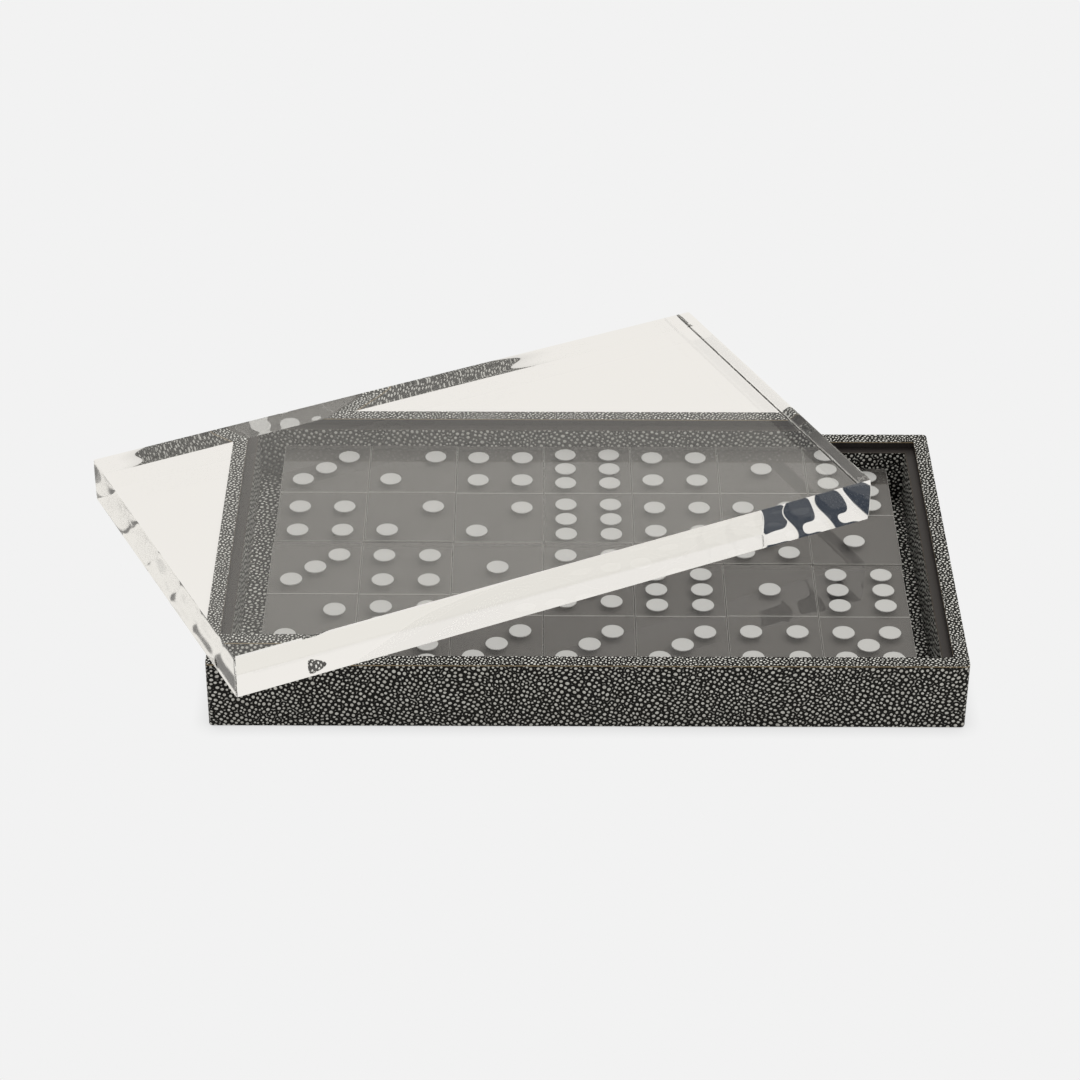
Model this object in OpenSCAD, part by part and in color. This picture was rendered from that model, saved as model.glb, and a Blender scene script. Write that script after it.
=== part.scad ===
// Domino storage box: a shallow tray covered in pebbled shagreen, a heavy clear
// lid lying askew on its rim, and a double-six set of dominoes in two layers.
// Millimetres. +X to the right, +Y away from the player, +Z up.
// The origin is the centre of the tray's underside.

/* [Dominoes] */
// Width of one domino
domino_w = 38.3; // [30:0.1:45]
// Length of one domino
domino_len = 76.9; // [62:0.1:90]
// Thickness of one domino, clear face and dark back together
domino_t = 8; // [5:0.1:12]
// Chamfer along every edge of a domino
domino_chamfer = 0.2; // [0.1:0.05:0.6]
// Gap between dominoes side by side
domino_gap = 0.28; // [0.2:0.02:1.5]
// Gap between the rear and the front row
row_gap = 0.6; // [0.3:0.1:4]
// Width of the line scored across the middle of a domino
score_w = 0.5; // [0.3:0.1:1]
// Depth of the scored line
score_depth = 0.1; // [0.1:0.05:0.5]

/* [Pips] */
// Diameter of a pip
pip_d = 9.2; // [6:0.1:10]
// Depth of the round recess that a pip fills
pip_recess = 0.8; // [0.4:0.1:1.5]
// How far the pip's face lies below the face of the domino
pip_dish = 0.15; // [0.05:0.05:0.3]
// Clear strip from the domino's long side to the nearest pip
pip_side = 4.85; // [3.5:0.05:6]
// Clear strip from the domino's short end to the nearest pip of a five
pip_end = 4.55; // [3:0.05:5.5]
// Clear strip from the middle line to the nearest pip of a five
pip_middle = 6.4; // [4:0.1:7.5]
// Clear strip between the pips of a six, along the domino
six_gap = 2.3; // [1:0.1:3]

/* [Room round the dominoes] */
// Finger gap at the left end of the stack
left_gap = 11; // [6:0.1:20]
// Finger gap at the right end of the stack
right_gap = 8.4; // [6:0.1:20]
// How far the rear row lies to the right of the front row
rear_slip = 0.4; // [0:0.1:1.5]
// Gap between the rear row and the back of the compartment
back_gap = 0.5; // [0.3:0.1:3]
// Gap between the front row and the front of the compartment
front_gap = 2.3; // [0.3:0.1:4]
// Height left above the dominoes, up to the ledge
headroom = 8; // [2:0.1:20]

/* [Tray] */
// Width of the rim's flat top
rim_w = 6.2; // [5:0.1:12]
// Width of the ledge that carries the closed lid
ledge_w = 4.2; // [3:0.1:10]
// Depth from the rim's top down to the ledge
rebate_depth = 3.4; // [2:0.1:8]
// Thickness of the bottom board
base_t = 3; // [2:0.1:6]
// Thickness of the felt under the bottom board
felt_t = 0.5; // [0.3:0.1:1.5]
// How far the felt stays back from the tray's sides
felt_inset = 1; // [0.5:0.1:3]
// Thickness of the shagreen sheet
sheet_t = 0.6; // [0.4:0.1:1.2]
// Thickness of the smooth dark lining of the ledge
trim_t = 0.5; // [0.3:0.1:1]

/* [Lid] */
// Thickness of the clear lid
lid_t = 20; // [10:0.5:25]
// Gap on each side between the closed lid and the rim
lid_gap = 1.4; // [0.5:0.1:3]
// Chamfer along every edge of the lid
lid_chamfer = 0.5; // [0.2:0.1:1]
// How far the lid is turned on the rim
lid_turn = 26.5; // [15:0.5:35]
// How far the lid's middle lies to the left of the tray's middle
lid_left = 44.8; // [40:0.2:50]
// How far the lid's middle lies behind the tray's middle
lid_back = 26.8; // [22:0.2:34]

/* [Hidden] */
$fn = 48;

// Dominoes from left to right, each as [far half, near half]
TOP_REAR = [[3, 4], [2, 2], [4, 2], [6, 6], [4, 4], [1, 5], [6, 1]];
TOP_FRONT = [[3, 2], [4, 6], [1, 3], [5, 3], [6, 3], [1, 4], [6, 5]];
LOW_REAR = [[0, 0], [0, 1], [0, 2], [0, 3], [0, 4], [0, 5], [0, 6]];
LOW_FRONT = [[1, 1], [1, 2], [2, 5], [2, 6], [3, 3], [4, 5], [5, 5]];
// How each top domino lies in its play: 1 is as far back, -1 as far forward as it goes
REAR_PLAY = [0.4, 0.9, -0.7, -0.2, 0.1, 0.6, 0.3];
FRONT_PLAY = [0.2, -0.1, 0.9, 0.1, -0.1, 0.5, -0.15];

COLUMNS = len(TOP_REAR);
ROWS = 2;
LAYERS = 2;

// The compartment follows from what it holds
compartment_w = COLUMNS * domino_w + (COLUMNS - 1) * domino_gap + left_gap + right_gap;
compartment_d = ROWS * domino_len + row_gap + back_gap + front_gap;
tray_w = compartment_w + 2 * (ledge_w + rim_w);
tray_d = compartment_d + 2 * (ledge_w + rim_w);
board_z = felt_t + base_t;
floor_z = board_z + sheet_t;
ledge_z = floor_z + LAYERS * domino_t + headroom;
tray_h = ledge_z + rebate_depth;
lid_w = tray_w - 2 * (rim_w + lid_gap);
lid_d = tray_d - 2 * (rim_w + lid_gap);

// Distances in from the tray's outer face to each vertical face of its shell
in_wrap = sheet_t;
in_wall = rim_w - trim_t;
in_rebate = rim_w;
in_liner = rim_w + ledge_w - sheet_t;
in_lining = rim_w + ledge_w;

// Pips, measured from the middle of a half
half_y = (pip_middle + domino_len / 2 - pip_end) / 2;
pip_x = domino_w / 2 - pip_side - pip_d / 2;
pip_y = domino_len / 2 - pip_end - pip_d / 2 - half_y;
six_y = pip_d + six_gap;

SIDES = ["front", "right", "back", "left"];
TILES = concat(
    [for (c = [0 : COLUMNS - 1]) [TOP_REAR[c], c, 1, 1]],
    [for (c = [0 : COLUMNS - 1]) [TOP_FRONT[c], c, 0, 1]],
    [for (c = [0 : COLUMNS - 1]) [LOW_REAR[c], c, 1, 0]],
    [for (c = [0 : COLUMNS - 1]) [LOW_FRONT[c], c, 0, 0]]);

function side_names(stem) = [for (s = SIDES) str(stem, "_", s)];
function tile_name(halves) = str("domino_", max(halves), "_", min(halves));

// A block standing on z = 0 with every edge chamfered
module chamfered_block(w, d, h, c) {
    intersection() {
        linear_extrude(h) chamfered_face(w, d, c);
        translate([0, d / 2, h / 2]) rotate([90, 0, 0])
            linear_extrude(d) chamfered_face(w, h, c);
        translate([-w / 2, 0, h / 2]) rotate([90, 0, 90])
            linear_extrude(w) chamfered_face(d, h, c);
    }
}

// A rectangle about the origin with its four corners cut off
module chamfered_face(w, d, c) {
    x = w / 2;
    y = d / 2;
    polygon([[c - x, -y], [x - c, -y], [x, c - y], [x, y - c],
             [x - c, y], [c - x, y], [-x, y - c], [-x, c - y]]);
}

// One side of a mitred frame, between two distances in from the tray's outer face
module frame_side(side, outer, inner, z0, z1) {
    turned = side == "right" || side == "left";
    long = (turned ? tray_d : tray_w) / 2;
    deep = (turned ? tray_w : tray_d) / 2;
    angle = 90 * search([side], SIDES)[0];
    translate([0, 0, z0]) rotate([0, 0, angle]) linear_extrude(z1 - z0)
        polygon([[outer - long, outer - deep], [long - outer, outer - deep],
                 [long - inner, inner - deep], [inner - long, inner - deep]]);
}

// A flat sheet or board that stays a given distance inside the tray's outer face
module flat_sheet(inset, z0, z1) {
    translate([inset - tray_w / 2, inset - tray_d / 2, z0])
        cube([tray_w - 2 * inset, tray_d - 2 * inset, z1 - z0]);
}

module base_felt() {
    color("#23211f") flat_sheet(felt_inset, 0, felt_t);
}

// The bottom board lies between the four walls
module base_board() {
    color("#8f7551") flat_sheet(in_wall, felt_t, board_z);
}

module floor_lining() {
    color("#3a3936") flat_sheet(in_lining, board_z, floor_z);
}

// Outer board of one side, from the felt up to the sheet on the rim
module wall(side) {
    color("#8f7551") frame_side(side, in_wrap, in_wall, felt_t, tray_h - sheet_t);
}

// Inner board of one side: its top carries the ledge
module liner(side) {
    color("#9a8059") frame_side(side, in_wall, in_liner, board_z, ledge_z - trim_t);
}

// Shagreen on the outside of one wall
module wrap(side) {
    color("#6f6e69") frame_side(side, 0, in_wrap, felt_t, tray_h - sheet_t);
}

// Shagreen strip over the top of one wall, mitred at the corners
module rim(side) {
    color("#8a8984") frame_side(side, 0, in_rebate, tray_h - sheet_t, tray_h);
}

// Smooth dark lining folded down the rebate and over the ledge
module ledge(side) {
    color("#2e2927") {
        frame_side(side, in_wall, in_rebate, ledge_z - trim_t, tray_h - sheet_t);
        frame_side(side, in_rebate, in_liner, ledge_z - trim_t, ledge_z);
    }
}

// Shagreen on the inside of one liner, down to the bottom board
module lining(side) {
    color("#4a4945") frame_side(side, in_liner, in_lining, board_z, ledge_z);
}

// The lid lies flat on the rim, turned and pushed back to the left
module lid() {
    color("#dfe6e6", 0.4)
        translate([-lid_left, lid_back, tray_h]) rotate([0, 0, lid_turn])
            chamfered_block(lid_w, lid_d, lid_t, lid_chamfer);
}

// Where the pips of one half lie, from the middle of that half
function pip_places(n) =
    n == 6 ? [for (x = [-pip_x, pip_x]) for (row = [-1 : 1]) [x, row * six_y]]
    : concat(
        n % 2 == 1 ? [[0, 0]] : [],
        n > 1 ? [[pip_x, pip_y], [-pip_x, -pip_y]] : [],
        n > 3 ? [[-pip_x, pip_y], [pip_x, -pip_y]] : []);

// All the pips of a domino as discs between two heights
module pips(halves, z0, z1) {
    for (half = [0, 1])
        translate([0, half == 0 ? half_y : -half_y, z0])
            for (p = pip_places(halves[half]))
                translate(p) cylinder(d = pip_d, h = z1 - z0);
}

// Gap on the far side of a domino's place and on its near side
function room_behind(row) = row == 1 ? back_gap : row_gap / 2;
function room_before(row) = row == 1 ? row_gap / 2 : front_gap;
function play_y(share, row) = share * (share > 0 ? room_behind(row) : room_before(row));

// Middle of a domino's underside, from its column, its row (1 is the rear) and its layer
function tile_place(column, row, layer) = [
    left_gap - compartment_w / 2 + domino_w / 2 + column * (domino_w + domino_gap)
        + row * rear_slip,
    (row == 1 ? 1 : -1) * (domino_len + row_gap) / 2 + (front_gap - back_gap) / 2
        + layer * play_y((row == 1 ? REAR_PLAY : FRONT_PLAY)[column], row),
    floor_z + layer * domino_t];

// Cutter for the V-shaped line across the middle of a domino's face
module scored_line() {
    half = score_w / 2;
    translate([-domino_w / 2, 0, domino_t]) rotate([90, 0, 90]) linear_extrude(domino_w)
        polygon([[0, -score_depth], [half, 0], [half, 1], [-half, 1], [-half, 0]]);
}

module domino(tile) {
    color("#6a6963") translate(tile_place(tile[1], tile[2], tile[3])) {
        difference() {
            chamfered_block(domino_w, domino_len, domino_t, domino_chamfer);
            pips(tile[0], domino_t - pip_recess, domino_t + 1);
            scored_line();
        }
        pips(tile[0], domino_t - pip_recess, domino_t - pip_dish);
    }
}

base_felt();
base_board();
floor_lining();
for (s = SIDES) {
    wall(s);
    liner(s);
    wrap(s);
    rim(s);
    ledge(s);
    lining(s);
}
lid();
for (t = TILES)
    domino(t);
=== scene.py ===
"""Domino storage box: a shagreen-covered tray with a double-six set of clear-faced dominoes in two
layers, and a heavy clear lid lying askew on its rim. Metres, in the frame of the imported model."""

import math

import bmesh
import bpy
from mathutils import Matrix, Vector


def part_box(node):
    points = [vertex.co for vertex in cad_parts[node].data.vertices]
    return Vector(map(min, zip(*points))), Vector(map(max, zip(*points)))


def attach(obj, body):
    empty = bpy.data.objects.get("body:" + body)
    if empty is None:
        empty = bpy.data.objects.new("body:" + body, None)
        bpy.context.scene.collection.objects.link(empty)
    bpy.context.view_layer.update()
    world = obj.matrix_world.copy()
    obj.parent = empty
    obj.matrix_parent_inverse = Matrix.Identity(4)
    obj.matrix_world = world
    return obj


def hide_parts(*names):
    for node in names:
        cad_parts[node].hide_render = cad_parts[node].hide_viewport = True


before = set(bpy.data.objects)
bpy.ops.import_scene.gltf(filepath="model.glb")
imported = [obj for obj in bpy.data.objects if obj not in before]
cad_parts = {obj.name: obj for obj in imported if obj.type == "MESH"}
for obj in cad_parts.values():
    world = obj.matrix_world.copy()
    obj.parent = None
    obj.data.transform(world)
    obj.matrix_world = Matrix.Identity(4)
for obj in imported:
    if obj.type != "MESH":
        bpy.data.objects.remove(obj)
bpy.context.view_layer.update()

# --- Felt under the bottom ---------------------------------------------------
# A sheet of black wool felt glued under the bottom board, 1 mm back from the sides, so that the tray
# doesn't scratch a table. It shows only as a thin dark line between the tray and what it stands on.
MM = 0.001
FELT_BLACK = "#1B1A19"
FELT_GREY = "#3A3836"
FELT_FIBRE = 0.6 * MM
FELT_NAP = 0.2 * MM

# A Mix node's sockets for the share and the two colours, and its colour output. Their names repeat, so
# they go by number.
SHARE, FIRST, SECOND = 0, 6, 7
MIXED = 2


def linear(code):
    """An sRGB hex value as linear red, green, blue and alpha, by the curve of the sRGB standard."""
    parts = [int(code[i : i + 2], 16) / 255 for i in (1, 3, 5)]
    return [p / 12.92 if p <= 0.04045 else ((p + 0.055) / 1.055) ** 2.4 for p in parts] + [1]


def add(tree, kind, inputs=None, **settings):
    """Adds one shader node. inputs fills sockets, by name or number, with values or other nodes' outputs."""
    node = tree.nodes.new("ShaderNode" + kind)
    for name, value in settings.items():
        setattr(node, name, value)
    for name, value in (inputs or {}).items():
        if isinstance(value, bpy.types.NodeSocket):
            tree.links.new(value, node.inputs[name])
        else:
            node.inputs[name].default_value = value
    return node


def new_tree(name):
    """An empty material and its node tree."""
    material = bpy.data.materials.new(name)
    material.use_nodes = True
    material.node_tree.nodes.clear()
    return material, material.node_tree


def dress(node, material):
    """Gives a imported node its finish."""
    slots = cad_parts[node].data.materials
    slots.clear()
    slots.append(material)


# Black wool felt, needled: fibres in all directions, matt, with a soft sheen at a glancing angle. The
# fibres are drawn as tufts, coarser than they are, so that they show.
felt, tree = new_tree("black_wool_felt")
place = add(tree, "TexCoord").outputs["Object"]
fibre = add(tree, "TexNoise", {"Vector": place, "Scale": 1 / FELT_FIBRE, "Detail": 4}).outputs["Fac"]
colour = add(tree, "Mix", {SHARE: fibre, FIRST: linear(FELT_BLACK), SECOND: linear(FELT_GREY)},
             data_type="RGBA").outputs[MIXED]
bump = add(tree, "Bump", {"Height": fibre, "Strength": 0.6, "Distance": FELT_NAP}).outputs[0]
shader = add(tree, "BsdfPrincipled", {"Base Color": colour, "Roughness": 0.95, "Sheen Weight": 0.4,
                                      "Normal": bump})
add(tree, "OutputMaterial", {0: shader.outputs[0]})
dress("base_felt", felt)

# --- Bottom board, outer and inner boards ------------------------------------
# The carcase is medium-density fibreboard, sawn and glued: a bottom board between four outer boards, and
# four lower inner boards that carry the ledge. All of it is covered, so it only shows where a cover ends.
BOARD_PALE = "#A58A63"
BOARD_DARK = "#7E6544"
BOARD_FIBRE = 0.9 * MM
SAW_DEPTH = 0.1 * MM
# Between these levels of its noise the dark tone turns into the pale one
BOARD_TONES = (0.35, 0.65)
SIDES = ["front", "right", "back", "left"]

# Sawn fibreboard: pressed wood dust with short darker fibres, dry and matt. The fibres are drawn coarser
# than they are, so that they show.
board, tree = new_tree("sawn_fibreboard")
place = add(tree, "TexCoord").outputs["Object"]
fibre = add(tree, "TexNoise", {"Vector": place, "Scale": 1 / BOARD_FIBRE, "Detail": 3,
                               "Roughness": 0.7}).outputs["Fac"]
tone = add(tree, "MapRange", {"Value": fibre, "From Min": BOARD_TONES[0],
                              "From Max": BOARD_TONES[1]}).outputs[0]
colour = add(tree, "Mix", {SHARE: tone, FIRST: linear(BOARD_DARK), SECOND: linear(BOARD_PALE)},
             data_type="RGBA").outputs[MIXED]
bump = add(tree, "Bump", {"Height": fibre, "Strength": 0.3, "Distance": SAW_DEPTH}).outputs[0]
shader = add(tree, "BsdfPrincipled", {"Base Color": colour, "Roughness": 0.85, "Normal": bump})
add(tree, "OutputMaterial", {0: shader.outputs[0]})
dress("base_board", board)
for side in SIDES:
    dress("wall_" + side, board)
    dress("liner_" + side, board)

# --- Shagreen on the floor, the inner boards, the outside and the rim ---------
# Shagreen embossed on leather 0.6 mm thick, glued on the compartment's floor, on the inner boards and
# round the outside, with a strip of a finer grain, mitred at the corners, over the top of each wall.
# Its cut edges are tan, but for those along the inner boards, which are inked dark.
PEBBLE_PITCH = 2.1 * MM
RIM_PITCH = 1.5 * MM
PEBBLE_RISE = 0.16 * MM
# How far the pebbles stray from even rows, and how much of the room round its middle each one fills
PEBBLE_STRAY = 0.55
PEBBLE_FILL = 0.68
PEBBLE_PALE = "#F0EFE7"
PEBBLE_GREY = "#D6D4CC"
PEBBLE_ROUGH = 0.42
GROUND_BLACK = "#11100E"
GROUND_ROUGH = 0.65
CUT_TAN = "#B8A585"
CUT_DARK = "#8A795F"
CUT_INKED = "#565049"
CUT_BLACK = "#2E2B28"
CUT_FIBRE = 1.5 * MM
SKIN_TURN = math.radians(30)
# The size of a patch in which the pebbles lie closer or wider, and how far it moves them
SKIN_PATCHES = ((26 * MM, 5 * MM), (9 * MM, 0.9 * MM))
# Where a form of the pattern starts and where it is whole, in pitches out from a pebble's edge
PEBBLE_EDGE = (0.05, -0.05)
PEBBLE_DOME = (0.08, -0.2)
GAP_DOT = (0.40, 0.50)
DOT_STRENGTH = 0.75
# How much a face has to lie the way of the sheet to count as its face, not as a cut edge
SHEET_TILT = (0.3, 0.4)
CORNER_ROUND = 1.8 * MM
CORNER_STEPS = 5
FOLD_ROUND = 0.3 * MM
TRIM_ROUND = 0.12 * MM
# Where the middle point of such a small round lies, as a share of its radius
ROUND_MIDDLE = 0.3
WELD = 0.001 * MM


def shagreen(name, across, along, pitch=PEBBLE_PITCH, cut_tones=(CUT_DARK, CUT_TAN)):
    """Shagreen for faces that span two of the object's axes, by number. Its other faces are cut edges."""
    material, tree = new_tree(name)
    coords = add(tree, "TexCoord").outputs
    place = add(tree, "SeparateXYZ", {0: coords["Object"]}).outputs
    flat = add(tree, "CombineXYZ", {0: place[across], 1: place[along]}).outputs[0]
    flat = add(tree, "VectorRotate", {"Vector": flat, "Angle": SKIN_TURN}, rotation_type="Z_AXIS").outputs[0]
    # The pebbles of a skin grow and shrink from patch to patch, so the pattern is stretched unevenly
    skin = flat
    for patch, stretch in SKIN_PATCHES:
        drift = add(tree, "TexNoise", {"Vector": flat, "Scale": 1 / patch, "Detail": 0}).outputs["Color"]
        drift = add(tree, "VectorMath", {0: drift, "Scale": stretch}, operation="SCALE").outputs[0]
        skin = add(tree, "VectorMath", {0: skin, 1: drift}).outputs[0]
    # Each pebble is a disc that stops short of its nearest neighbour. Small dots fill the gaps.
    cells = {"Vector": skin, "Scale": 1 / pitch, "Randomness": PEBBLE_STRAY}
    cell = add(tree, "TexVoronoi", cells, voronoi_dimensions="2D", feature="F1").outputs
    room = add(tree, "TexVoronoi", cells, voronoi_dimensions="2D", feature="N_SPHERE_RADIUS").outputs
    away = add(tree, "Math", {0: room["Radius"], 1: -PEBBLE_FILL, 2: cell["Distance"]},
               operation="MULTIPLY_ADD").outputs[0]
    forms = []
    for start, whole in (GAP_DOT, PEBBLE_EDGE, PEBBLE_DOME):
        form = add(tree, "MapRange", {"Value": away, "From Min": start, "From Max": whole},
                   interpolation_type="SMOOTHSTEP")
        forms.append(form.outputs[0])
    dot = add(tree, "Math", {0: forms[0], 1: DOT_STRENGTH}, operation="MULTIPLY").outputs[0]
    pebble = add(tree, "Math", {0: forms[1], 1: dot}, operation="MAXIMUM").outputs[0]
    dome = add(tree, "Math", {0: forms[2], 1: dot}, operation="MAXIMUM").outputs[0]
    tone = add(tree, "SeparateColor", {0: cell["Color"]}).outputs[0]
    top = add(tree, "Mix", {SHARE: tone, FIRST: linear(PEBBLE_GREY), SECOND: linear(PEBBLE_PALE)},
              data_type="RGBA").outputs[MIXED]
    face = add(tree, "Mix", {SHARE: pebble, FIRST: linear(GROUND_BLACK), SECOND: top},
               data_type="RGBA").outputs[MIXED]
    # The normal's part along the third axis tells the sheet's faces from its cut edges
    facing = add(tree, "SeparateXYZ", {0: coords["Normal"]}).outputs[3 - across - along]
    facing = add(tree, "Math", {0: facing}, operation="ABSOLUTE").outputs[0]
    sheet = add(tree, "MapRange", {"Value": facing, "From Min": SHEET_TILT[0], "From Max": SHEET_TILT[1]},
                interpolation_type="SMOOTHSTEP").outputs[0]
    fibre = add(tree, "TexNoise", {"Vector": coords["Object"], "Scale": 1 / CUT_FIBRE,
                                   "Detail": 3}).outputs["Fac"]
    cut_edge = add(tree, "Mix", {SHARE: fibre, FIRST: linear(cut_tones[0]), SECOND: linear(cut_tones[1])},
                   data_type="RGBA").outputs[MIXED]
    colour = add(tree, "Mix", {SHARE: sheet, FIRST: cut_edge, SECOND: face}, data_type="RGBA").outputs[MIXED]
    rough = add(tree, "MapRange", {"Value": pebble, "To Min": GROUND_ROUGH,
                                   "To Max": PEBBLE_ROUGH}).outputs[0]
    bump = add(tree, "Bump", {"Height": dome, "Strength": 1.0, "Distance": PEBBLE_RISE}).outputs[0]
    shader = add(tree, "BsdfPrincipled", {"Base Color": colour, "Roughness": rough,
                                          "Specular IOR Level": 0.15, "Normal": bump})
    add(tree, "OutputMaterial", {0: shader.outputs[0]})
    return material


def new_piece(name, build, *materials):
    """A mesh object named name. build fills an empty bmesh with its shape."""
    mesh = bpy.data.meshes.new(name)
    bm = bmesh.new()
    build(bm)
    bm.to_mesh(mesh)
    bm.free()
    for material in materials:
        mesh.materials.append(material)
    piece = bpy.data.objects.new(name, mesh)
    bpy.context.scene.collection.objects.link(piece)
    return piece


def smooth(piece, sharp=10):
    """Smooth shading. Edges over sharp degrees are kept, so that flat faces stay flat."""
    piece.data.shade_smooth()
    piece.data.set_sharp_from_angle(angle=math.radians(sharp))


def mitred(bm, side, low, high, section):
    """One side of a frame round the box from low to high, mitred at both ends, with its upright outer
    corners rounded. section lists the (inset, height) of the side's profile."""
    turn = SIDES.index(side)
    corners = [(low.x, low.y), (high.x, low.y), (high.x, high.y), (low.x, high.y)]
    rows = []
    # Each end has one half of its corner's arc: at the front, 225 to 270 degrees and 270 to 315 degrees
    for corner, first in ((corners[turn], 225), (corners[(turn + 1) % 4], 270)):
        x = 1 if corner[0] == low.x else -1
        y = 1 if corner[1] == low.y else -1
        for step in range(CORNER_STEPS + 1):
            angle = math.radians(first + 90 * turn + 45 * step / CORNER_STEPS)
            row = []
            for inset, height in section:
                if inset < CORNER_ROUND:
                    out = CORNER_ROUND - inset
                    place = (corner[0] + x * CORNER_ROUND + out * math.cos(angle),
                             corner[1] + y * CORNER_ROUND + out * math.sin(angle), height)
                else:
                    place = (corner[0] + x * inset, corner[1] + y * inset, height)
                row.append(bm.verts.new(place))
            rows.append(row)
    for a, b in zip(rows, rows[1:]):
        for i in range(len(section)):
            j = (i + 1) % len(section)
            bm.faces.new([a[i], a[j], b[j], b[i]])
    bm.faces.new(rows[0])
    bm.faces.new(rows[-1][::-1])
    bmesh.ops.remove_doubles(bm, verts=bm.verts[:], dist=WELD)
    bmesh.ops.recalc_face_normals(bm, faces=bm.faces[:])


# Embossed leather shagreen, its pebbles sanded flat and left pale on a black ground: salt and pepper to
# the eye, each pebble a little paler or greyer than the next, and shinier than the ground between them.
# Its cut edges are fibrous and dull, with the fibres drawn coarser than they are, so that they show.
shagreen_flat = shagreen("embossed_shagreen_flat", 0, 1)
shagreen_long = shagreen("embossed_shagreen_long_side", 0, 2)
shagreen_end = shagreen("embossed_shagreen_short_side", 1, 2)
skins = {"front": shagreen_long, "back": shagreen_long, "right": shagreen_end, "left": shagreen_end}
rim_skin = shagreen("embossed_shagreen_rim_strip", 0, 1, RIM_PITCH)
inked_long = shagreen("inked_edge_shagreen_long_side", 0, 2, cut_tones=(CUT_BLACK, CUT_INKED))
inked_end = shagreen("inked_edge_shagreen_short_side", 1, 2, cut_tones=(CUT_BLACK, CUT_INKED))
dress("floor_lining", shagreen_flat)
tray_low = Vector((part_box("wrap_left")[0].x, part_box("wrap_front")[0].y, 0))
tray_high = Vector((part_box("wrap_right")[1].x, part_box("wrap_back")[1].y, 0))
for side in SIDES:
    dress("lining_" + side, inked_long if side in ("front", "back") else inked_end)
    low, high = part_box("wrap_" + side)
    thick = min(high.x - low.x, high.y - low.y)
    middle = ROUND_MIDDLE * FOLD_ROUND
    wrap_section = [(0, low.z + FOLD_ROUND), (0, high.z - TRIM_ROUND), (TRIM_ROUND, high.z), (thick, high.z),
                    (thick, low.z), (FOLD_ROUND, low.z), (middle, low.z + middle)]
    wrap = new_piece("wrap_sheet_" + side,
                     lambda bm: mitred(bm, side, tray_low, tray_high, wrap_section), skins[side])
    low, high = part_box("rim_" + side)
    width = min(high.x - low.x, high.y - low.y)
    middle = ROUND_MIDDLE * TRIM_ROUND
    rim_section = [(0, low.z), (0, high.z - TRIM_ROUND), (middle, high.z - middle), (TRIM_ROUND, high.z),
                   (width - TRIM_ROUND, high.z), (width, high.z - TRIM_ROUND), (width, low.z)]
    rim = new_piece("rim_strip_" + side,
                    lambda bm: mitred(bm, side, tray_low, tray_high, rim_section), rim_skin)
    for piece, node in ((wrap, "wrap_" + side), (rim, "rim_" + side)):
        smooth(piece)
        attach(piece, "tray")
        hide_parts(node)

# --- Ledge lining -----------------------------------------------------------
# Smooth dark brown lining leather, pasted down the rebate and over the ledge, so that the closed lid
# lies on something soft. It was drawn tight along each side as it was pasted.
LINING_BROWN = "#231F1E"
LINING_WORN = "#302B29"
LINING_ROUGH = (0.4, 0.6)
STREAK_WIDTH = 1.2 * MM
STREAK_LENGTH = 90 * MM
STREAK_DEPTH = 0.1 * MM
# Between these levels of its noise the brown turns into the worn tone
STREAK_TONES = (0.35, 0.7)


def lining_leather(name, stretch):
    """Smooth lining leather with streaks. stretch is a streak's length along each axis."""
    material, tree = new_tree(name)
    place = add(tree, "TexCoord").outputs["Object"]
    drawn = add(tree, "VectorMath", {0: place, 1: stretch}, operation="DIVIDE").outputs[0]
    streak = add(tree, "TexNoise", {"Vector": drawn, "Scale": 1, "Detail": 3}).outputs["Fac"]
    tone = add(tree, "MapRange", {"Value": streak, "From Min": STREAK_TONES[0],
                                  "From Max": STREAK_TONES[1]}).outputs[0]
    colour = add(tree, "Mix", {SHARE: tone, FIRST: linear(LINING_BROWN), SECOND: linear(LINING_WORN)},
                 data_type="RGBA").outputs[MIXED]
    rough = add(tree, "MapRange", {"Value": streak, "To Min": LINING_ROUGH[0],
                                   "To Max": LINING_ROUGH[1]}).outputs[0]
    bump = add(tree, "Bump", {"Height": streak, "Strength": 0.3, "Distance": STREAK_DEPTH}).outputs[0]
    shader = add(tree, "BsdfPrincipled", {"Base Color": colour, "Roughness": rough, "Normal": bump})
    add(tree, "OutputMaterial", {0: shader.outputs[0]})
    return material


# Smooth leather, dyed dark and pressed under a plate: nearly black, with faint paler streaks along each
# side where it was drawn, and a soft shine that the streaks break up
lining_long = lining_leather("smooth_lining_leather_long_side", (STREAK_LENGTH, STREAK_WIDTH, STREAK_WIDTH))
lining_short = lining_leather("smooth_lining_leather_short_side", (STREAK_WIDTH, STREAK_LENGTH, STREAK_WIDTH))
for side in SIDES:
    dress("ledge_" + side, lining_long if side in ("front", "back") else lining_short)

# --- Dominoes ----------------------------------------------------------------
# Each domino is a slab of clear acrylic bonded over a charcoal acrylic back. Its pips are round recesses
# milled into the face and filled with silver-grey lacquer, and a line is scored across its middle. A
# double-six set lies loose in two layers of two rows, each domino given as its far half and its near half.
TOP_REAR = [(3, 4), (2, 2), (4, 2), (6, 6), (4, 4), (1, 5), (6, 1)]
TOP_FRONT = [(3, 2), (4, 6), (1, 3), (5, 3), (6, 3), (1, 4), (6, 5)]
LOW_REAR = [(0, 0), (0, 1), (0, 2), (0, 3), (0, 4), (0, 5), (0, 6)]
LOW_FRONT = [(1, 1), (1, 2), (2, 5), (2, 6), (3, 3), (4, 5), (5, 5)]
BACK_THICK = 3 * MM
EDGE_ROUND = 0.2 * MM
# How far bonded pieces reach into each other, so that no gap shows, and how far the back stays off what
# it lies on
BOND = 0.05 * MM
PIP_RADIUS = 4.6 * MM
PIP_RECESS = 0.8 * MM
PIP_STEPS = 40
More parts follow.
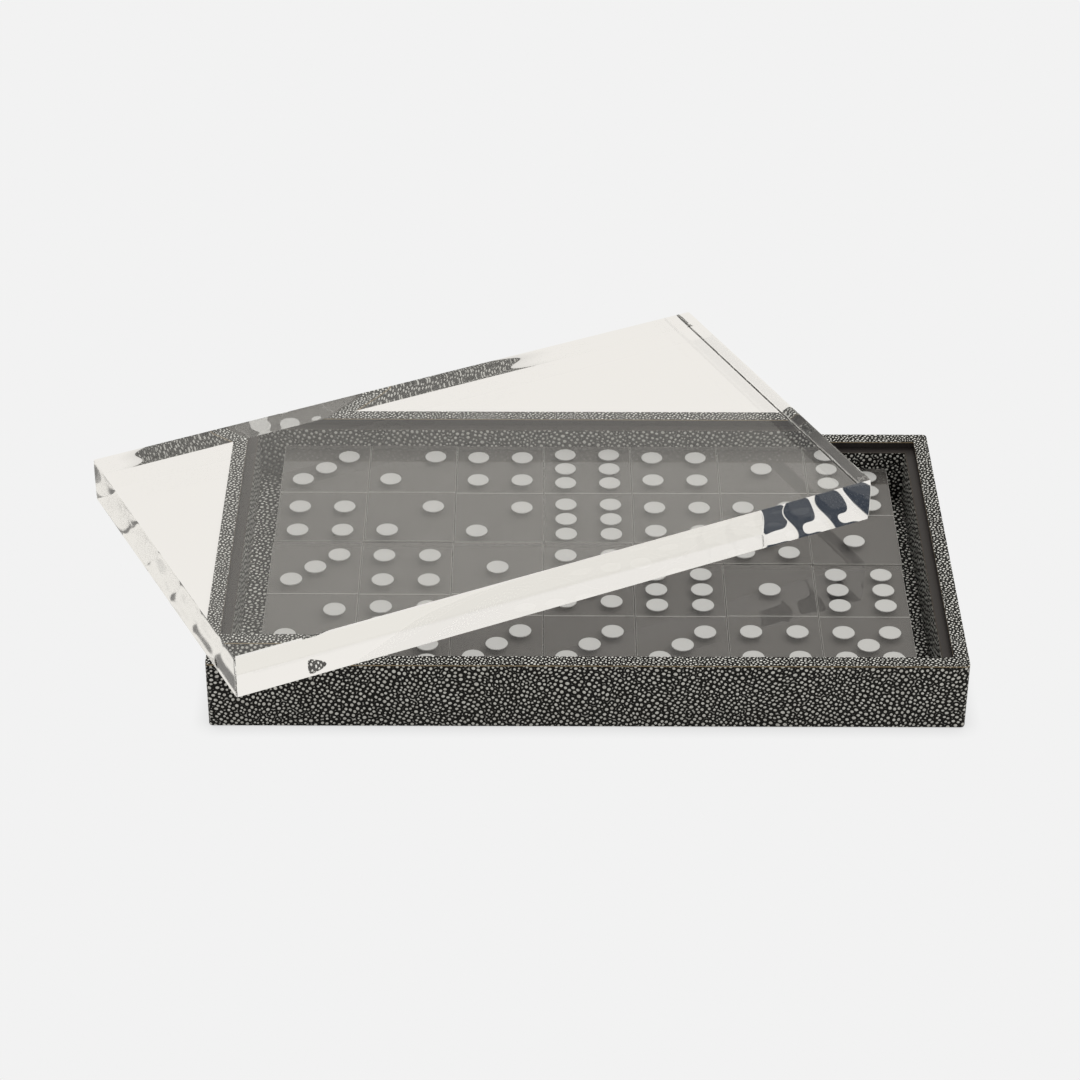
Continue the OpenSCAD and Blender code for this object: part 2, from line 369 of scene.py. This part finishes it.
# The gaps from the pips to the domino's sides, to its ends and to its middle, and between those of a six
PIP_SIDE = 4.85 * MM
PIP_END = 4.55 * MM
PIP_MIDDLE = 6.4 * MM
SIX_GAP = 2.3 * MM
# How far below the face the lacquer lies, and how near the wall it starts to climb
LACQUER_DOWN = 0.15 * MM
LACQUER_DOWN_AT_WALL = 0.12 * MM
LACQUER_CLIMB = 0.3 * MM
RING_PITCH = 0.45 * MM
RING_DEPTH = 0.03 * MM
SCORE_WIDTH = 0.5 * MM
SCORE_DEPTH = 0.1 * MM
# How far the cutter stands out past the domino's face and sides
CUTTER_SPARE = 1 * MM
ACRYLIC_IOR = 1.5
ACRYLIC_CLEAR = "#FFFFFF"
ARRIS_WHITISH = "#C8C6C0"
CHARCOAL = "#625F5B"
CHARCOAL_DEEP = "#5A5753"
CHARCOAL_CLOUD = 25 * MM
SILVER_PALE = "#D0CFCB"
SILVER_GREY = "#C2C1BD"


def block(bm, low, high, bonded):
    """A block between two corners. Its edges are rounded, in the second material, but for those of the face
    at height bonded."""
    made = bmesh.ops.create_cube(bm, size=1)
    size = high - low
    middle = (low + high) / 2
    for vert in made["verts"]:
        vert.co = middle + Vector(a * b for a, b in zip(vert.co, size))
    free = [e for e in bm.edges if any(abs(v.co.z - bonded) > BOND for v in e.verts)]
    rounded = bmesh.ops.bevel(bm, geom=free, offset=EDGE_ROUND, segments=2, profile=0.5, affect="EDGES")
    for face in rounded["faces"]:
        face.material_index = 1


def pip_places(count, half_width, half_length):
    """The middle of a half's pips, from the domino's middle, and where they lie from there."""
    middle = (PIP_MIDDLE + half_length - PIP_END) / 2
    x = half_width - PIP_SIDE - PIP_RADIUS
    y = half_length - PIP_END - PIP_RADIUS - middle
    if count == 6:
        row_step = 2 * PIP_RADIUS + SIX_GAP
        places = [(column * x, row * row_step) for column in (-1, 1) for row in (-1, 0, 1)]
    else:
        places = [(0, 0)] * (count % 2) + [(x, y), (-x, -y)] * (count > 1) + [(-x, y), (x, -y)] * (count > 3)
    return middle, places


def all_pips(halves, low, high):
    """The middle of each pip of a domino, on its face."""
    centre = (low + high) / 2
    for sign, count in zip((1, -1), halves):
        middle, places = pip_places(count, (high.x - low.x) / 2, (high.y - low.y) / 2)
        for x, y in places:
            yield Vector((centre.x + x, centre.y + sign * middle + y, high.z))


def lathe(bm, place, profile):
    """Turns a closed profile of (radius, height) round an upright line through place, where its ends lie."""
    rings = []
    for radius, height in profile:
        angles = [math.tau * i / PIP_STEPS for i in range(PIP_STEPS)] if radius else [0]
        ring = [place + Vector((radius * math.cos(a), radius * math.sin(a), height)) for a in angles]
        rings.append([bm.verts.new(point) for point in ring])
    for a, b in zip(rings, rings[1:]):
        for i in range(PIP_STEPS):
            corners = [a[i % len(a)], a[(i + 1) % len(a)], b[(i + 1) % len(b)], b[i % len(b)]]
            bm.faces.new(sorted(set(corners), key=corners.index))


def cut(piece, cutter):
    """Takes the cutter's shape out of a piece, and removes the cutter."""
    modifier = piece.modifiers.new("cut", "BOOLEAN")
    modifier.object = cutter
    modifier.solver = "EXACT"
    bpy.context.view_layer.update()
    made = bpy.data.meshes.new_from_object(piece.evaluated_get(bpy.context.evaluated_depsgraph_get()))
    made.name = piece.name
    piece.modifiers.clear()
    piece.data = made
    bpy.data.objects.remove(cutter)


def acrylic(name, tint, passing, roughness):
    """Clear acrylic. Light from the lamp and from matt surfaces goes straight through it, unbent."""
    material, tree = new_tree(name)
    glass = add(tree, "BsdfPrincipled", {"Base Color": linear(tint), "Roughness": roughness,
                                         "IOR": ACRYLIC_IOR, "Transmission Weight": passing})
    path = add(tree, "LightPath").outputs
    straight = add(tree, "Math", {0: path["Is Shadow Ray"], 1: path["Is Diffuse Ray"]},
                   operation="MAXIMUM").outputs[0]
    unbent = add(tree, "BsdfTransparent", {0: (1, 1, 1, 1)})
    mix = add(tree, "MixShader", {0: straight, 1: glass.outputs[0], 2: unbent.outputs[0]})
    add(tree, "OutputMaterial", {0: mix.outputs[0]})
    return material


# Cast acrylic, milled to size: its faces are polished, and its arrises were taken off with fine abrasive,
# which leaves them whitish and dull
domino_clear = acrylic("polished_clear_acrylic", ACRYLIC_CLEAR, passing=1.0, roughness=0.0)
domino_arris = acrylic("sanded_clear_acrylic_arris", ARRIS_WHITISH, passing=0.45, roughness=0.4)

# Charcoal acrylic: cast sheet with a satin skin, faintly uneven in tone
charcoal, tree = new_tree("satin_charcoal_acrylic")
place = add(tree, "TexCoord").outputs["Object"]
cloud = add(tree, "TexNoise", {"Vector": place, "Scale": 1 / CHARCOAL_CLOUD, "Detail": 3}).outputs["Fac"]
colour = add(tree, "Mix", {SHARE: cloud, FIRST: linear(CHARCOAL_DEEP), SECOND: linear(CHARCOAL)},
             data_type="RGBA").outputs[MIXED]
shader = add(tree, "BsdfPrincipled", {"Base Color": colour, "Roughness": 0.5, "IOR": ACRYLIC_IOR})
add(tree, "OutputMaterial", {0: shader.outputs[0]})

# Silver-grey lacquer in a milled recess: the cutter's rings show through it as fine circles, and it has a
# faint metal shine. The pip's own middle is the origin of its UV map, in metres.
silver, tree = new_tree("silver_grey_lacquer")
place = add(tree, "TexCoord").outputs["UV"]
away = add(tree, "VectorMath", {0: place}, operation="LENGTH").outputs["Value"]
turns = add(tree, "Math", {0: away, 1: math.tau / RING_PITCH}, operation="MULTIPLY").outputs[0]
wave = add(tree, "Math", {0: turns}, operation="SINE").outputs[0]
ring = add(tree, "MapRange", {"Value": wave, "From Min": -1, "From Max": 1}).outputs[0]
colour = add(tree, "Mix", {SHARE: ring, FIRST: linear(SILVER_GREY), SECOND: linear(SILVER_PALE)},
             data_type="RGBA").outputs[MIXED]
bump = add(tree, "Bump", {"Height": ring, "Strength": 0.3, "Distance": RING_DEPTH}).outputs[0]
shader = add(tree, "BsdfPrincipled", {"Base Color": colour, "Metallic": 0.15, "Roughness": 0.4,
                                      "Normal": bump})
add(tree, "OutputMaterial", {0: shader.outputs[0]})


def domino(halves):
    """Builds one domino in the place of its node: back, clear face and pips."""
    node = f"domino_{max(halves)}_{min(halves)}"
    low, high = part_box(node)
    bond = low.z + BACK_THICK

    def back_shape(bm):
        block(bm, low + Vector((0, 0, BOND)), Vector((high.x, high.y, bond)), bond)

    def face_shape(bm):
        block(bm, Vector((low.x, low.y, bond - BOND)), high, bond - BOND)

    def cutter_shape(bm):
        recess = [(0, CUTTER_SPARE), (PIP_RADIUS, CUTTER_SPARE), (PIP_RADIUS, -PIP_RECESS), (0, -PIP_RECESS)]
        for place in all_pips(halves, low, high):
            lathe(bm, place, recess)
        # The score's walls are left as the cutter makes them, which is as dull as the arrises
        bored = len(bm.faces)
        middle = (low.y + high.y) / 2
        half = SCORE_WIDTH / 2
        corners = [(0, -SCORE_DEPTH), (half, 0), (half, CUTTER_SPARE), (-half, CUTTER_SPARE), (-half, 0)]
        ends = [[bm.verts.new((x, middle + y, high.z + z)) for y, z in corners]
                for x in (low.x - CUTTER_SPARE, high.x + CUTTER_SPARE)]
        for i in range(len(corners)):
            j = (i + 1) % len(corners)
            bm.faces.new([ends[0][i], ends[0][j], ends[1][j], ends[1][i]])
        bm.faces.new(ends[0][::-1])
        bm.faces.new(ends[1])
        bm.faces.ensure_lookup_table()
        for face in bm.faces[bored:]:
            face.material_index = 1
        bmesh.ops.recalc_face_normals(bm, faces=bm.faces[:])

    def pip_shape(bm):
        from_middle = bm.loops.layers.uv.new("from_middle")
        wall, bottom = PIP_RADIUS + BOND / 2, -PIP_RECESS - BOND
        fill = [(0, bottom), (wall, bottom), (wall, -LACQUER_DOWN_AT_WALL),
                (PIP_RADIUS - LACQUER_CLIMB, -LACQUER_DOWN), (0, -LACQUER_DOWN)]
        for place in all_pips(halves, low, high):
            start = len(bm.faces)
            lathe(bm, place, fill)
            bm.faces.ensure_lookup_table()
            for face in bm.faces[start:]:
                for loop in face.loops:
                    loop[from_middle].uv = (loop.vert.co - place).xy
        bmesh.ops.recalc_face_normals(bm, faces=bm.faces[:])

    pieces = [new_piece(node + "_back", back_shape, charcoal, charcoal),
              new_piece(node + "_face", face_shape, domino_clear, domino_arris)]
    cut(pieces[1], new_piece("cutter", cutter_shape, domino_clear, domino_arris))
    if max(halves):
        pieces.append(new_piece(node + "_pips", pip_shape, silver))
    for piece in pieces:
        smooth(piece)
        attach(piece, node)
    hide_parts(node)


for halves in TOP_REAR + TOP_FRONT + LOW_REAR + LOW_FRONT:
    domino(halves)

# --- Lid ---------------------------------------------------------------------
# One slab of clear cast acrylic, 20 mm thick. Its sawn sides were buffed, which rolled them off towards
# the bottom and the top, by as much as it took to clear the saw marks. It isn't fixed: it fits inside the
# rim, and here it lies on the rim, turned to the left.
LID_TURN = math.radians(26.5)
LID_GAP = 1.4 * MM
LID_SEAT = 0.02 * MM
LID_ARRIS = 0.75 * MM
ARRIS_STEPS = 6
# How far each side is rolled off at the bottom and at the top, in millimetres. A higher power starts it
# nearer to both.
LID_ROLL = {"front": (0.25, 0.38), "right": (0.45, 0.6), "back": (0.05, 0.08), "left": (0.16, 0.14)}
ROLL_POWER = 4
LID_LEVELS = 60

low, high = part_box("lid")
rim_low, rim_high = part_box("rim_front")
rim_width = rim_high.y - rim_low.y
lid_middle = (low + high) / 2
lid_half = (tray_high - tray_low) / 2 - Vector((1, 1, 0)) * (rim_width + LID_GAP)
lid_thick = high.z - low.z - LID_SEAT


def lid_shape(bm):
    """The slab about its own middle, standing on height 0: one ring of points for each level."""
    rings = []
    for level in range(LID_LEVELS + 1):
        # From -1 at the bottom to 1 at the top, with the levels close together near both
        up = math.sin(math.pi * (level / LID_LEVELS - 0.5))
        height = lid_thick * (up + 1) / 2
        rolled = {side: LID_ROLL[side][up > 0] * MM * up**ROLL_POWER for side in SIDES}
        left, right = rolled["left"] - lid_half.x, lid_half.x - rolled["right"]
        front, back = rolled["front"] - lid_half.y, lid_half.y - rolled["back"]
        ring = []
        for turn, (x, y) in enumerate(((right, front), (right, back), (left, back), (left, front))):
            x -= math.copysign(LID_ARRIS, x)
            y -= math.copysign(LID_ARRIS, y)
            for step in range(ARRIS_STEPS + 1):
                angle = math.radians(90 * (turn - 1) + 90 * step / ARRIS_STEPS)
                place = (x + LID_ARRIS * math.cos(angle), y + LID_ARRIS * math.sin(angle), height)
                ring.append(bm.verts.new(place))
        rings.append(ring)
    # The left end lies between the third corner's last point and the fourth corner's first
    left_end = 3 * (ARRIS_STEPS + 1) - 1
    for a, b in zip(rings, rings[1:]):
        for i in range(len(a)):
            j = (i + 1) % len(a)
            face = bm.faces.new([a[i], a[j], b[j], b[i]])
            if i == left_end:
                face.material_index = 1
    bm.faces.new(rings[0][::-1])
    bm.faces.new(rings[-1])
    bmesh.ops.recalc_face_normals(bm, faces=bm.faces[:])


# The slab has the dominoes' polish. Its left end was buffed by hand, and is clear but faintly hazy.
buffed_end = acrylic("hand_buffed_clear_acrylic", ACRYLIC_CLEAR, passing=1.0, roughness=0.05)
lid = new_piece("lid_slab", lid_shape, domino_clear, buffed_end)
lid_place = Matrix.Translation((lid_middle.x, lid_middle.y, low.z + LID_SEAT))
lid.data.transform(lid_place @ Matrix.Rotation(LID_TURN, 4, "Z"))
# The arris' first facet turns only 7.5 degrees from the side, so a smaller angle keeps the sides flat
smooth(lid, sharp=5)
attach(lid, "lid")
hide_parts("lid")

# --- Floor, daylight and camera ----------------------------------------------
# A sheet of pale backdrop paper in soft light from a white dome and one wide lamp above. The camera
# stands at the photograph's place, which was worked out from the tray's and the lid's corners.
FLOOR_WHITE = "#F2F2F2"
FLOOR_WARM_SHADED = "#EFECE7"
FLOOR_FAR = "#F7F4EF"
FLOOR_MATT = "#CBCAC8"
FLOOR_SIZE = 6
FLOOR_DROP = 0.05 * MM
# Painted shade: the warm paper is darker near the tray, and pales to its far tone between these distances
# from the tray's middle
FLOOR_SHADE_FADE = (0.25, 0.6)
CONTACT_REACH = 8 * MM
CONTACT_DARK = "#DCDCDC"
DOME_WARM = "#E9E6DF"
DOME_DARK = "#3C424B"
DOME_LIGHT = 0.5
# The direction of the dome's dark patch, and how far from it the patch ends and is at its darkest
DARK_TOWARDS = Vector((-0.703, 0.439, 0.559))
DARK_SPAN = (math.radians(14), math.radians(12))
LAMP_WATTS = 10.5
LAMP_SIZE = 1.2
LAMP_PLACE = (0.35, 0.3, 1.3)
# The lens and the sensor in millimetres
LENS = 105.57
SENSOR = 36
CAMERA_PLACE = (-0.02299, -1.12711, 0.78433)
PITCH, YAW, ROLL = (math.radians(a) for a in (33.685, 0.186, 0.269))
CLEAR_BOUNCES = 24
MATT_BOUNCES = 4


def seen_share(tree):
    """Two outputs: 1 where the camera sees this, straight or by way of clear and glossy pieces, and 1 where
    it sees it by way of those alone."""
    path = add(tree, "LightPath").outputs
    bent = add(tree, "Math", {0: path["Is Glossy Ray"], 1: path["Is Transmission Ray"]},
               operation="MAXIMUM").outputs[0]
    return add(tree, "Math", {0: path["Is Camera Ray"], 1: bent}, operation="MAXIMUM").outputs[0], bent


# Backdrop paper, uncoated and matt: it is seen at its own even tone, warmer where it is seen through the
# clear pieces and there darker near the tray in painted shade, with a short soft painted shadow where
# something stands on it
floor_paint, tree = new_tree("pale_backdrop_paper")
seen, bent = seen_share(tree)
# Painted shade: seen through the clear pieces, the paper is darker near the tray's middle and pales with
# distance
place = add(tree, "TexCoord").outputs["Object"]
away = add(tree, "VectorMath", {0: place}, operation="LENGTH").outputs["Value"]
far = add(tree, "MapRange", {"Value": away, "From Min": FLOOR_SHADE_FADE[0],
                             "From Max": FLOOR_SHADE_FADE[1]}).outputs[0]
warm_shaded = add(tree, "Mix", {SHARE: far, FIRST: linear(FLOOR_WARM_SHADED), SECOND: linear(FLOOR_FAR)},
           data_type="RGBA").outputs[MIXED]
tone = add(tree, "Mix", {SHARE: bent, FIRST: linear(FLOOR_WHITE), SECOND: warm_shaded},
           data_type="RGBA").outputs[MIXED]
contact = add(tree, "AmbientOcclusion", {"Distance": CONTACT_REACH}, samples=8).outputs["AO"]
shade = add(tree, "Mix", {SHARE: contact, FIRST: linear(CONTACT_DARK), SECOND: (1, 1, 1, 1)},
            data_type="RGBA").outputs[MIXED]
tone = add(tree, "Mix", {SHARE: 1.0, FIRST: tone, SECOND: shade}, data_type="RGBA",
           blend_type="MULTIPLY").outputs[MIXED]
matt = add(tree, "BsdfDiffuse", {"Color": linear(FLOOR_MATT)})
glow = add(tree, "Emission", {"Color": tone, "Strength": 1.0})
mix = add(tree, "MixShader", {0: seen, 1: matt.outputs[0], 2: glow.outputs[0]})
add(tree, "OutputMaterial", {0: mix.outputs[0]})


def floor_shape(bm):
    """A square of paper, a hair below the tray."""
    bmesh.ops.create_grid(bm, x_segments=1, y_segments=1, size=FLOOR_SIZE)
    bmesh.ops.translate(bm, verts=bm.verts[:], vec=(0, 0, -FLOOR_DROP))


floor = new_piece("floor", floor_shape, floor_paint)

# The dome is seen in the backdrop's tone, and by way of clear and glossy pieces as a warm white room with
# one dark patch, which shows in the lid's rolled ends. Its light is white.
world = bpy.data.worlds.new("studio")
bpy.context.scene.world = world
world.use_nodes = True
tree = world.node_tree
tree.nodes.clear()
seen, bent = seen_share(tree)
look = add(tree, "TexCoord").outputs["Generated"]
towards = add(tree, "VectorMath", {0: look, 1: DARK_TOWARDS.normalized()},
              operation="DOT_PRODUCT").outputs["Value"]
dark = add(tree, "MapRange", {"Value": towards, "From Min": math.cos(DARK_SPAN[0]),
                              "From Max": math.cos(DARK_SPAN[1])}).outputs[0]
dome = add(tree, "Mix", {SHARE: dark, FIRST: linear(DOME_WARM), SECOND: linear(DOME_DARK)},
           data_type="RGBA").outputs[MIXED]
shown = add(tree, "Mix", {SHARE: bent, FIRST: linear(FLOOR_WHITE), SECOND: dome},
            data_type="RGBA").outputs[MIXED]
background = add(tree, "Background", {"Color": shown, "Strength": 1.0})
light = add(tree, "Background", {"Color": (1, 1, 1, 1), "Strength": DOME_LIGHT})
mix = add(tree, "MixShader", {0: seen, 1: light.outputs[0], 2: background.outputs[0]})
add(tree, "OutputWorld", {0: mix.outputs[0]})

# A softbox high over the right rear, which clear and glossy pieces don't show
lamp_data = bpy.data.lights.new("softbox", "AREA")
lamp_data.size = LAMP_SIZE
lamp_data.energy = LAMP_WATTS
lamp = bpy.data.objects.new("softbox", lamp_data)
bpy.context.scene.collection.objects.link(lamp)
lamp.visible_glossy = False
lamp.visible_transmission = False
lamp.location = LAMP_PLACE
lamp.rotation_euler = (-lamp.location).to_track_quat("-Z", "Y").to_euler()

camera_data = bpy.data.cameras.new("camera")
camera_data.lens = LENS
camera_data.sensor_width = SENSOR
camera = bpy.data.objects.new("camera", camera_data)
bpy.context.scene.collection.objects.link(camera)
aim = Matrix.Rotation(-YAW, 4, "Z") @ Matrix.Rotation(math.pi / 2 - PITCH, 4, "X")
camera.matrix_world = Matrix.Translation(CAMERA_PLACE) @ aim @ Matrix.Rotation(ROLL, 4, "Z")
bpy.context.scene.camera = camera

# Light is turned back many times inside the lid before it leaves, so paths may be long
cycles = bpy.context.scene.cycles
cycles.max_bounces = CLEAR_BOUNCES + MATT_BOUNCES
cycles.glossy_bounces = CLEAR_BOUNCES
cycles.transmission_bounces = CLEAR_BOUNCES
cycles.transparent_max_bounces = CLEAR_BOUNCES
bpy.context.scene.view_settings.view_transform = "Standard"

bpy.context.view_layer.update()
